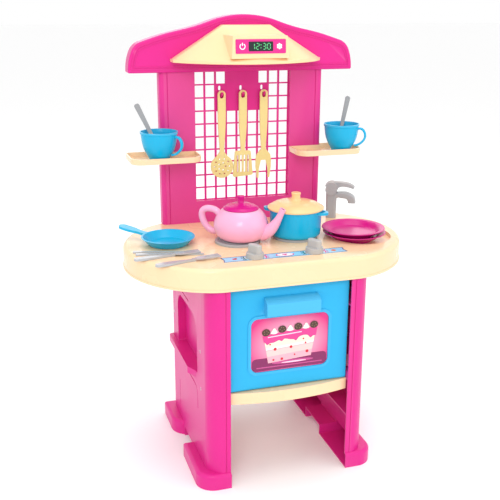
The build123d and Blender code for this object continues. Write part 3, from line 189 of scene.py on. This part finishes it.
def radial_film(name, centre, size, inner, outer):
    """Printed film with a round gradient about a point in the row frame."""
    made, tree, shader = new_material(name)
    place = tree.nodes.new("ShaderNodeTexCoord")
    shift = tree.nodes.new("ShaderNodeMapping")
    shift.vector_type = "TEXTURE"
    shift.inputs["Location"].default_value = centre
    shift.inputs["Scale"].default_value = size
    tree.links.new(place.outputs["Object"], shift.inputs["Vector"])
    ball = tree.nodes.new("ShaderNodeTexGradient")
    ball.gradient_type = "SPHERICAL"
    tree.links.new(shift.outputs["Vector"], ball.inputs["Vector"])
    tint = colour_mix(tree, ball.outputs["Fac"], (*outer, 1), (*inner, 1))
    tree.links.new(tint, shader.inputs["Base Color"])
    shader.inputs["Roughness"].default_value = 0.2
    return made


MATERIALS = {
    "pink_plastic": plastic("pink_plastic", PINK, rough=0.32, subsurface=0.03, shine=0.28),
    "cream_plastic": plastic("cream_plastic", CREAM, rough=0.26, coat=0.25, subsurface=0.06),
    "hood_cream": plastic("hood_cream", HOOD_CREAM, rough=0.28, coat=0.2, subsurface=0.06),
    "light_blue_plastic": plastic("light_blue_plastic", DOOR_BLUE, rough=0.38, shine=0.2),
    "blue_plastic": plastic("blue_plastic", CUP_BLUE, rough=0.24, coat=0.12),
    "pale_pink_plastic": plastic("pale_pink_plastic", PALE_PINK, rough=0.24, coat=0.3,
                                 subsurface=0.05),
    "magenta_plastic": plastic("magenta_plastic", MAGENTA, rough=0.24, coat=0.12),
    "grey_plastic": plastic("grey_plastic", GREY, rough=0.36, grain=0.05),
    "knob_plastic": plastic("knob_plastic", KNOB_GREY, rough=0.34, subsurface=0.15),
    "spoon_plastic": plastic("spoon_plastic", SPOON_GREY, rough=0.30, grain=0.05),
    "cutlery_plastic": plastic("cutlery_plastic", CUTLERY_GREY, rough=0.22, grain=0.05, coat=0.3,
                               shine=0.6),
    "utensil_plastic": plastic("utensil_plastic", UTENSIL, rough=0.32, subsurface=0.08),
    "lid_cream": plastic("lid_cream", POT_LID, rough=0.24, coat=0.25),
    "steel": plastic("steel", STEEL, rough=0.30, grain=0.08, wear=0.3, metallic=1.0),
}


# ------------------------------------------------------------------ mesh helpers
MERGE_DISTANCE = 0.002 * MM
CREASE = math.radians(32)
NORMAL_WEIGHT = 80


def body_of(node):
    """The body that a CAD node belongs to."""
    return frame["nodes"][node]["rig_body"]


def add_object(name, mesh, body, material):
    """Link a finished mesh, give it its material and let it ride on its body."""
    piece = bpy.data.objects.new(name, mesh)
    bpy.context.scene.collection.objects.link(piece)
    mesh.materials.append(material)
    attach(piece, body)
    return piece


def moulded(node, material, rounding_mm):
    """Copy of a CAD node with merged points, edges rounded by some millimetres and smooth shading."""
    source = frame["nodes"][node]
    work = bmesh.new()
    work.from_mesh(source.data)
    bmesh.ops.remove_doubles(work, verts=work.verts, dist=MERGE_DISTANCE)
    for face in work.faces:
        face.smooth = True
    mesh = bpy.data.meshes.new(f"{node}_skin")
    work.to_mesh(mesh)
    work.free()
    for layer in ("custom_normal", "sharp_face"):
        if layer in mesh.attributes:
            mesh.attributes.remove(mesh.attributes[layer])
    mesh.materials.clear()
    piece = add_object(f"{node}_skin", mesh, body_of(node), material)
    mesh.set_sharp_from_angle(angle=CREASE)
    if rounding_mm:
        rounding = piece.modifiers.new("rounding", "BEVEL")
        rounding.width = rounding_mm * MM
        rounding.segments = 2
        rounding.limit_method = "ANGLE"
        rounding.angle_limit = CREASE
        weighted = piece.modifiers.new("weighted", "WEIGHTED_NORMAL")
        weighted.keep_sharp = True
        weighted.weight = NORMAL_WEIGHT
    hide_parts(node)


def prism(name, outline, thickness, to_frame, body, material):
    """Thin flat piece: an outline in local XY, raised along local +Z by its thickness."""
    work = bmesh.new()
    low = [work.verts.new((x, y, 0)) for x, y in outline]
    high = [work.verts.new((x, y, thickness)) for x, y in outline]
    work.faces.new(high)
    work.faces.new(low[::-1])
    for k in range(len(outline)):
        after = (k + 1) % len(outline)
        work.faces.new((low[k], low[after], high[after], high[k]))
    work.transform(to_frame)
    bmesh.ops.recalc_face_normals(work, faces=work.faces)
    mesh = bpy.data.meshes.new(name)
    work.to_mesh(mesh)
    work.free()
    return add_object(name, mesh, body, material)


def oval(cx, cy, rx, ry, count=32):
    """Outline of an ellipse."""
    turns = [2 * math.pi * k / count for k in range(count)]
    return [(cx + rx * math.cos(t), cy + ry * math.sin(t)) for t in turns]


def arc_band(cx, cy, inner, outer, start, end, count=14):
    """Outline of a ring sector, angles in degrees."""
    turns = [math.radians(start + (end - start) * k / count) for k in range(count + 1)]
    rim = [(cx + outer * math.cos(t), cy + outer * math.sin(t)) for t in turns]
    back = [(cx + inner * math.cos(t), cy + inner * math.sin(t)) for t in reversed(turns)]
    return rim + back


def rounded_box(half_x, half_y, radius, cx=0.0, cy=0.0, count=6):
    """Outline of a rectangle with round corners."""
    points = []
    for sx, sy, first in ((1, 1, 0), (-1, 1, 90), (-1, -1, 180), (1, -1, 270)):
        for k in range(count + 1):
            t = math.radians(first + 90 * k / count)
            points.append((cx + sx * (half_x - radius) + radius * math.cos(t),
                           cy + sy * (half_y - radius) + radius * math.sin(t)))
    return points


# ------------------------------------------------------------------ CAD nodes and their looks
# Each node's material and the rounding of its edges in millimetres; 0 leaves the CAD edges.
LOOKS = {
    "side_panel_left": ("pink_plastic", 0.8), "side_panel_right": ("pink_plastic", 0.8),
    "back_panel": ("pink_plastic", 0.5), "canopy": ("pink_plastic", 0.5),
    "oven_tray": ("cream_plastic", 0.8), "oven_rear_panel": ("pink_plastic", 0.5),
    "worktop": ("cream_plastic", 0.6), "range_hood": ("hood_cream", 1.0),
    "shelf_left": ("cream_plastic", 0.0), "shelf_right": ("cream_plastic", 0.0),
    "burner_left": ("grey_plastic", 0.3), "burner_right": ("grey_plastic", 0.3),
    "side_screws": ("steel", 0.0), "oven_door": ("light_blue_plastic", 0.0),
    "knob_left": ("knob_plastic", 0.8), "knob_right": ("knob_plastic", 0.8),
    "knob_clip_left": ("grey_plastic", 0.2), "knob_clip_right": ("grey_plastic", 0.2),
    "tap_body": ("grey_plastic", 0.8), "tap_clip": ("grey_plastic", 0.2),
    "tap_lever": ("grey_plastic", 0.8),
    "teapot_body": ("pale_pink_plastic", 0.0), "teapot_lid": ("magenta_plastic", 0.3),
    "pot_body": ("blue_plastic", 0.5), "pot_lid": ("lid_cream", 0.3),
    "frying_pan": ("blue_plastic", 0.6), "plate_lower": ("magenta_plastic", 0.3),
    "plate_upper": ("magenta_plastic", 0.3),
    "cup_left": ("blue_plastic", 0.0), "cup_right": ("blue_plastic", 0.0),
    "spoon_left": ("spoon_plastic", 0.5), "spoon_right": ("spoon_plastic", 0.5),
    "skimmer": ("utensil_plastic", 0.6), "spatula": ("utensil_plastic", 0.6),
    "serving_fork": ("utensil_plastic", 0.6), "knife_rear": ("cutlery_plastic", 0.4),
    "knife_front": ("cutlery_plastic", 0.4), "fork_rear": ("cutlery_plastic", 0.4),
    "fork_front": ("cutlery_plastic", 0.4),
}

for node_name, (look, rounding_mm) in LOOKS.items():
    moulded(node_name, MATERIALS[look], rounding_mm)

# ------------------------------------------------------------------ door picture
PICTURE_LOW, PICTURE_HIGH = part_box("door_picture")
PICTURE_MID = (PICTURE_LOW + PICTURE_HIGH) / 2
LAYER = 0.05 * MM


def on_picture(layer):
    """Frame of the picture's face: local X to the right, local Y up, local Z out of the door."""
    place = Vector((PICTURE_MID.x, PICTURE_LOW.y - layer * 2 * LAYER, PICTURE_MID.z))
    return Matrix.Translation(place) @ Matrix.Rotation(math.radians(90), 4, "X")


def picture_piece(name, outline, layer, material):
    """One printed area of the picture; outline in millimetres from its middle."""
    scaled = [(x * MM, y * MM) for x, y in outline]
    return prism(f"picture_{name}", scaled, LAYER, on_picture(layer), "door", material)


PRINT = {
    "cake": print_film("print_cake", (0.95, 0.80, 0.62)),
    "cream": print_film("print_cream", (0.98, 0.90, 0.80)),
    "rose": print_film("print_rose", (0.88, 0.42, 0.50)),
    "blush": print_film("print_blush", (0.92, 0.58, 0.56)),
    "icing": print_film("print_icing", (0.84, 0.045, 0.27)),
    "shine": print_film("print_shine", (0.98, 0.62, 0.76)),
    "berry": print_film("print_berry", (0.62, 0.010, 0.035)),
    "cocoa": print_film("print_cocoa", (0.07, 0.030, 0.018)),
    "cocoa_light": print_film("print_cocoa_light", (0.24, 0.13, 0.08)),
    "table": print_film("print_table", (0.22, 0.010, 0.10)),
    "table_light": print_film("print_table_light", (0.55, 0.07, 0.26)),
    "white": print_film("print_white", (0.95, 0.95, 0.95)),
    "sky": print_film("print_sky", (0.30, 0.62, 0.86)),
    "navy": print_film("print_navy", (0.02, 0.06, 0.20)),
    "teal": print_film("print_teal", (0.02, 0.20, 0.18)),
    "magenta": print_film("print_magenta", (0.80, 0.02, 0.24)),
    "orange": print_film("print_orange", (0.80, 0.22, 0.03)),
    "black": print_film("print_black", (0.012, 0.016, 0.020), rough=0.12),
    # Digit film with painted glow: the printed digits emit light though the label is no lamp.
    "digit": print_film("print_digit", (0.10, 0.55, 0.20), glow=0.35),
}
BACKDROP = radial_film("print_backdrop", (0.0, PICTURE_MID.y, PICTURE_MID.z), (0.085, 0.085, 0.062),
                       (0.98, 0.62, 0.74), (0.70, 0.02, 0.20))


def dress_label(node, material):
    """A printed CAD plate keeps its mesh and gets its film."""
    plate = frame["nodes"][node]
    plate.data.materials.clear()
    plate.data.materials.append(material)


dress_label("door_picture", BACKDROP)


SLICE_FOOT_Y = -33
SLICE_HEIGHT = 48
SLICE_FOOT_HALF = 41
SLICE_SPREAD = 8
SLICE_RISE = 3


def slanted(across, up):
    """A point of the slice's cut face, -1 to 1 across and 0 to 1 up: it narrows towards the table."""
    half = SLICE_FOOT_HALF + SLICE_SPREAD * up
    return across * half, SLICE_FOOT_Y + SLICE_HEIGHT * up + across * SLICE_RISE


def slice_band(low, high, steps=10):
    """Outline of one layer of the slice between two heights, 0 to 1."""
    bottom = [slanted(-1 + 2 * k / steps, low) for k in range(steps + 1)]
    top = [slanted(1 - 2 * k / steps, high) for k in range(steps + 1)]
    return bottom + top


def wavy_icing(steps=60):
    """Icing with soft drips along its lower edge."""
    bottom = []
    for k in range(steps + 1):
        across = -1.04 + 2.08 * k / steps
        x, y = slanted(across, 0.86)
        wave = 2.2 * math.sin(7.5 * across + 0.6)
        drip = 4.2 * max(0.0, math.sin(11 * across - 1.1)) ** 3
        bottom.append((x, y - 1 - (wave + drip)))
    top = []
    for k in range(steps + 1):
        across = 1.04 - 2.08 * k / steps
        x, y = slanted(across, 1.12)
        top.append((x, y + 2.0 * (1 - across * across)))
    return bottom + top


picture_piece("table", rounded_box(71.5, 12, 8, 0, -37.5), 1, PRINT["table"])
picture_piece("table_edge", rounded_box(63, 1.0, 0.9, 0, -43.5), 2, PRINT["table_light"])
picture_piece("table_gleam", oval(6, -37, 40, 3.4), 2, PRINT["table_light"])
picture_piece("table_gleam_core", oval(8, -38, 24, 1.3), 3, PRINT["shine"])
SLICE_LAYERS = (("sponge_low", 0.0, 0.26, "rose"), ("cream_low", 0.26, 0.32, "blush"),
                ("sponge_mid", 0.32, 0.50, "blush"), ("jam", 0.50, 0.53, "rose"),
                ("cream_mid", 0.53, 0.62, "cream"), ("sponge_top", 0.62, 0.94, "cake"))
for label, low, high, film in SLICE_LAYERS:
    picture_piece(label, slice_band(low, high), 4, PRINT[film])
# Each berry's place across and up the slice, and its radius in millimetres.
BERRIES = ((-0.80, 0.74, 1.6), (-0.62, 0.52, 3.0), (0.05, 0.50, 2.8), (0.55, 0.74, 1.6),
           (0.66, 0.56, 1.8), (0.84, 0.78, 1.6), (0.78, 0.20, 3.0), (-0.74, 0.10, 2.0),
           (-0.36, 0.08, 2.6), (0.22, 0.16, 1.6))
for index, (across, up, radius) in enumerate(BERRIES):
    x, y = slanted(across, up)
    picture_piece(f"berry_{index}", oval(x, y, radius, radius, 18), 5, PRINT["berry"])
picture_piece("icing", wavy_icing(), 6, PRINT["icing"])
SHINE_STEPS = 16
shine_low = [slanted(-0.85 + 1.3 * k / SHINE_STEPS, 1.02) for k in range(SHINE_STEPS + 1)]
shine_high = [slanted(0.45 - 1.3 * k / SHINE_STEPS, 1.06) for k in range(SHINE_STEPS + 1)]
picture_piece("icing_shine", shine_low + shine_high, 7, PRINT["shine"])


def cream_swirl(index, x, y):
    """Cream piped in three tiers that narrow upwards."""
    for tier, (wide, lift) in enumerate(((6.6, -1.0), (4.8, 2.0), (2.8, 4.8))):
        outline = oval(x, y + lift, wide, 2.7, 20)
        picture_piece(f"swirl_{index}_{tier}", outline, 8 + tier, PRINT["cream"])


def cocoa_ball(index, x, y):
    """Dark ball with light crumbs on it."""
    picture_piece(f"cocoa_{index}", oval(x, y + 2.6, 7.8, 6.8, 24), 11, PRINT["cocoa"])
    for speck in range(5):
        turn = 1.3 * speck + index
        outline = oval(x + 4.2 * math.cos(turn), y + 2.8 + 3.4 * math.sin(turn), 1.2, 0.9, 10)
        picture_piece(f"cocoa_{index}_speck_{speck}", outline, 12, PRINT["cocoa_light"])


for index in range(7):
    across = -0.9 + 0.3 * index
    x, y = slanted(across, 1.18)
    y += 2.2 * (1 - across * across)
    if index % 2:
        cream_swirl(index, x, y)
    else:
        cocoa_ball(index, x, y)

# ------------------------------------------------------------------ hood label
HOOD_LOW, HOOD_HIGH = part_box("hood_display")
LABEL_TILT = math.radians(4)
LABEL_THICK = 0.5 * MM
LABEL_MID = (HOOD_LOW + HOOD_HIGH) / 2
dress_label("hood_display", PRINT["magenta"])


def on_label(layer):
    """Frame of the hood label's face."""
    out = LABEL_THICK * 0.5 + layer * 2 * LAYER
    normal = Vector((0, -math.cos(LABEL_TILT), math.sin(LABEL_TILT)))
    turn = Matrix.Rotation(math.radians(90) - LABEL_TILT, 4, "X")
    return Matrix.Translation(LABEL_MID + normal * out) @ turn


def label_piece(name, outline, layer, material):
    """One printed area of the hood label; outline in millimetres."""
    scaled = [(x * MM, y * MM) for x, y in outline]
    return prism(f"label_{name}", scaled, LAYER, on_label(layer), "stand", material)


# The bars of each seven-segment figure that the clock shows.
SEGMENTS = {"0": "abcdef", "1": "bc", "2": "abged", "3": "abgcd"}
FIGURE_HALF_WIDTH = 2.8
FIGURE_HALF_HEIGHT = 5.1
FIGURE_BAR = 1.3
POWER_X = -35.0
LIGHT_X = 35.5


def segment_outline(letter, cx):
    """Outline of one bar of a seven-segment figure centred on cx."""
    half = FIGURE_BAR / 2
    flat = {"a": FIGURE_HALF_HEIGHT, "g": 0.0, "d": -FIGURE_HALF_HEIGHT}
    if letter in flat:
        y = flat[letter]
        reach = FIGURE_HALF_WIDTH - FIGURE_BAR
        return [(cx - reach, y - half), (cx + reach, y - half),
                (cx + reach, y + half), (cx - reach, y + half)]
    x = cx + (FIGURE_HALF_WIDTH if letter in "bc" else -FIGURE_HALF_WIDTH)
    low, high = (0.0, FIGURE_HALF_HEIGHT) if letter in "bf" else (-FIGURE_HALF_HEIGHT, 0.0)
    return [(x - half, low + half), (x + half, low + half),
            (x + half, high - half), (x - half, high - half)]


label_piece("screen", rounded_box(23.5, 8.6, 2.0), 1, PRINT["black"])
# The clock's digits and colon use the printed film with painted glow.
for place, figure in zip((-15.2, -6.4, 6.4, 15.2), "1230"):
    for letter in SEGMENTS[figure]:
        name = f"digit_{place:g}_{letter}".replace("-", "m").replace(".", "_")
        label_piece(name, segment_outline(letter, place), 2, PRINT["digit"])
for side, height in (("low", -2.6), ("high", 2.6)):
    label_piece(f"colon_{side}", oval(0, height, 0.9, 0.9, 12), 2, PRINT["digit"])
label_piece("power_ring", arc_band(POWER_X, 0, 4.0, 5.6, 120, 420, 26), 1, PRINT["white"])
label_piece("power_bar", rounded_box(0.8, 2.8, 0.7, POWER_X, 3.9), 1, PRINT["white"])
label_piece("light_core", oval(LIGHT_X, 0, 3.2, 3.2, 20), 1, PRINT["white"])
for ray in range(6):
    turn = math.radians(60 * ray + 30)
    outline = oval(LIGHT_X + 3.6 * math.cos(turn), 3.6 * math.sin(turn), 1.9, 1.9, 14)
    label_piece(f"light_ray_{ray}", outline, 1, PRINT["white"])

# ------------------------------------------------------------------ control strip
STRIP_LOW, STRIP_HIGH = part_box("control_strip")
KNOB_SPOTS = [((low.x + high.x) / 2 / MM, (low.y + high.y) / 2 / MM)
              for low, high in (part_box("knob_left"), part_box("knob_right"))]
STRIP_Y = (STRIP_LOW.y + STRIP_HIGH.y) / 2 / MM
STRIP_HALF_X = (STRIP_HIGH.x - STRIP_LOW.x) / 2 / MM
STRIP_HALF_Y = (STRIP_HIGH.y - STRIP_LOW.y) / 2 / MM
dress_label("control_strip", PRINT["sky"])


def strip_piece(name, outline, layer, material):
    """One printed area of the control strip; outline in millimetres in X and Y."""
    scaled = [(x * MM, y * MM) for x, y in outline]
    place = Matrix.Translation((0, 0, STRIP_HIGH.z + layer * 2 * LAYER - LAYER))
    return prism(f"strip_{name}", scaled, LAYER, place, "stand", material)


def edge_bar(x0, y0, x1, y1, width):
    """Outline of a straight line with a width."""
    along = Vector((x1 - x0, y1 - y0)).normalized()
    off = Vector((-along.y, along.x)) * width / 2
    return [(x0 - off.x, y0 - off.y), (x1 - off.x, y1 - off.y),
            (x1 + off.x, y1 + off.y), (x0 + off.x, y0 + off.y)]


RIM = 1.6
RIM_TIP = 0.6
RIM_NOTCH = 3.2
DIAL_BANDS = (("dial", 19.0, 21.6), ("dial_in", 17.4, 18.4))
DIAL_HALF = 26
TICK_INNER, TICK_OUTER = 22.8, 25.4
TICK_STEP = 18
TICK_HALF = 3
MOTIF_X = 93
front_y, rear_y = STRIP_Y - STRIP_HALF_Y + RIM / 2, STRIP_Y + STRIP_HALF_Y - RIM / 2
for part, y in (("front", front_y), ("rear", rear_y)):
    strip_piece(f"rim_{part}", edge_bar(-STRIP_HALF_X, y, STRIP_HALF_X, y, RIM), 1, PRINT["navy"])
for side, side_name in ((-1, "left"), (1, "right")):
    tip = side * (STRIP_HALF_X - RIM_TIP)
    notch = side * (STRIP_HALF_X - RIM_NOTCH)
    for part, y in (("front", front_y), ("rear", rear_y)):
        outline = edge_bar(tip, y, notch, STRIP_Y, RIM)
        strip_piece(f"rim_end_{part}_{side_name}", outline, 2, PRINT["navy"])


def dial_marks(index, kx, ky):
    """Two coloured bands beside a knob, each with a white band inside it and three ticks outside."""
    for turn, (facing, film) in enumerate(((0, "magenta"), (180, "teal"))):
        for (label, inner, outer), print_name in zip(DIAL_BANDS, (film, "white")):
            outline = arc_band(kx, ky, inner, outer, facing - DIAL_HALF, facing + DIAL_HALF)
            strip_piece(f"{label}_{index}_{turn}", outline, 3, PRINT[print_name])
    for tick in range(3):
        for label, facing, film in (("tick", 0, "magenta"), ("tick_back", 180, "navy")):
            turn = facing + TICK_STEP * (tick - 1)
            outline = arc_band(kx, ky, TICK_INNER, TICK_OUTER, turn - TICK_HALF, turn + TICK_HALF, 3)
            strip_piece(f"{label}_{index}_{tick}", outline, 3, PRINT[film])


for index, (kx, ky) in enumerate(KNOB_SPOTS):
    dial_marks(index, kx, ky)
strip_piece("badge_rim", oval(0, STRIP_Y, 17, 9.4), 3, PRINT["magenta"])
strip_piece("badge", oval(0, STRIP_Y, 14.8, 7.6), 4, PRINT["white"])
strip_piece("badge_heart_left", oval(-2.1, STRIP_Y + 1.2, 2.6, 2.4, 18), 5, PRINT["icing"])
strip_piece("badge_heart_right", oval(2.1, STRIP_Y + 1.2, 2.6, 2.4, 18), 5, PRINT["icing"])
HEART_TIP = [(-4.5, STRIP_Y + 0.6), (4.5, STRIP_Y + 0.6), (0, STRIP_Y - 4.6)]
strip_piece("badge_heart_tip", HEART_TIP, 6, PRINT["icing"])
strip_piece("motif_left", oval(-MOTIF_X, STRIP_Y, 4.4, 3.4, 20), 3, PRINT["berry"])
strip_piece("motif_left_leaf", oval(2.5 - MOTIF_X, STRIP_Y + 3.4, 2.4, 1.1, 12), 4, PRINT["teal"])
strip_piece("motif_right", oval(MOTIF_X, STRIP_Y, 4.8, 4.4, 20), 3, PRINT["orange"])
strip_piece("motif_right_core", oval(MOTIF_X, STRIP_Y, 2.4, 2.2, 14), 4, PRINT["berry"])

# ------------------------------------------------------------------ floor, light, camera
FLOOR_HALF = 30.0
floor_mesh = bpy.data.meshes.new("floor")
floor_corners = [(x * FLOOR_HALF, y * FLOOR_HALF, 0) for x, y in ((-1, -1), (1, -1), (1, 1), (-1, 1))]
floor_mesh.from_pydata(floor_corners, [], [(0, 1, 2, 3)])
floor_look, _, floor_shader = new_material("floor_look")
floor_shader.inputs["Base Color"].default_value = (0.98, 0.98, 0.98, 1)
floor_shader.inputs["Roughness"].default_value = 0.8
floor_mesh.materials.append(floor_look)
floor = bpy.data.objects.new("floor", floor_mesh)
bpy.context.scene.collection.objects.link(floor)

STAND_MIDDLE = Vector((0.0, 0.0, 0.42))


def area_light(name, place, size, power):
    """Soft square white light that points at the middle of the object."""
    lamp = bpy.data.lights.new(name, "AREA")
    lamp.size = size
    lamp.energy = power
    holder = bpy.data.objects.new(name, lamp)
    bpy.context.scene.collection.objects.link(holder)
    holder.location = place
    holder.rotation_mode = "QUATERNION"
    holder.rotation_quaternion = (STAND_MIDDLE - Vector(place)).to_track_quat("-Z", "Y")


area_light("key", (-1.1, -2.6, 2.1), 1.2, 30)
area_light("fill", (2.2, -1.8, 1.4), 2.0, 8)
area_light("top", (0.2, -0.3, 2.8), 1.6, 16)
area_light("rear", (0.6, 2.4, 1.8), 1.8, 10)
world = bpy.data.worlds.new("studio")
world.use_nodes = True
sky = world.node_tree.nodes["Background"]
sky.inputs["Color"].default_value = (1.0, 1.0, 1.0, 1)
sky.inputs["Strength"].default_value = 1.0
bpy.context.scene.world = world
bpy.context.scene.view_settings.view_transform = "Standard"

CAMERA_PLACE = Vector((-0.46732, -1.39162, 0.85303))
CAMERA_YAW = math.radians(17.50)
CAMERA_PITCH = math.radians(-17.21)
CAMERA_ROLL = math.radians(0.26)
FOCAL_SHARE = 802.19 / 500

lens = bpy.data.cameras.new("camera")
lens.sensor_width = 36.0
lens.lens = FOCAL_SHARE * lens.sensor_width
camera = bpy.data.objects.new("camera", lens)
bpy.context.scene.collection.objects.link(camera)
heading = Vector((math.sin(CAMERA_YAW), math.cos(CAMERA_YAW), 0))
forward = heading * math.cos(CAMERA_PITCH) + Vector((0, 0, math.sin(CAMERA_PITCH)))
level = Vector((math.cos(CAMERA_YAW), -math.sin(CAMERA_YAW), 0))
above = level.cross(forward)
right = level * math.cos(CAMERA_ROLL) + above * math.sin(CAMERA_ROLL)
upward = above * math.cos(CAMERA_ROLL) - level * math.sin(CAMERA_ROLL)
turn_matrix = Matrix((right, upward, -forward)).transposed().to_4x4()
camera.matrix_world = Matrix.Translation(CAMERA_PLACE) @ turn_matrix
bpy.context.scene.camera = camera
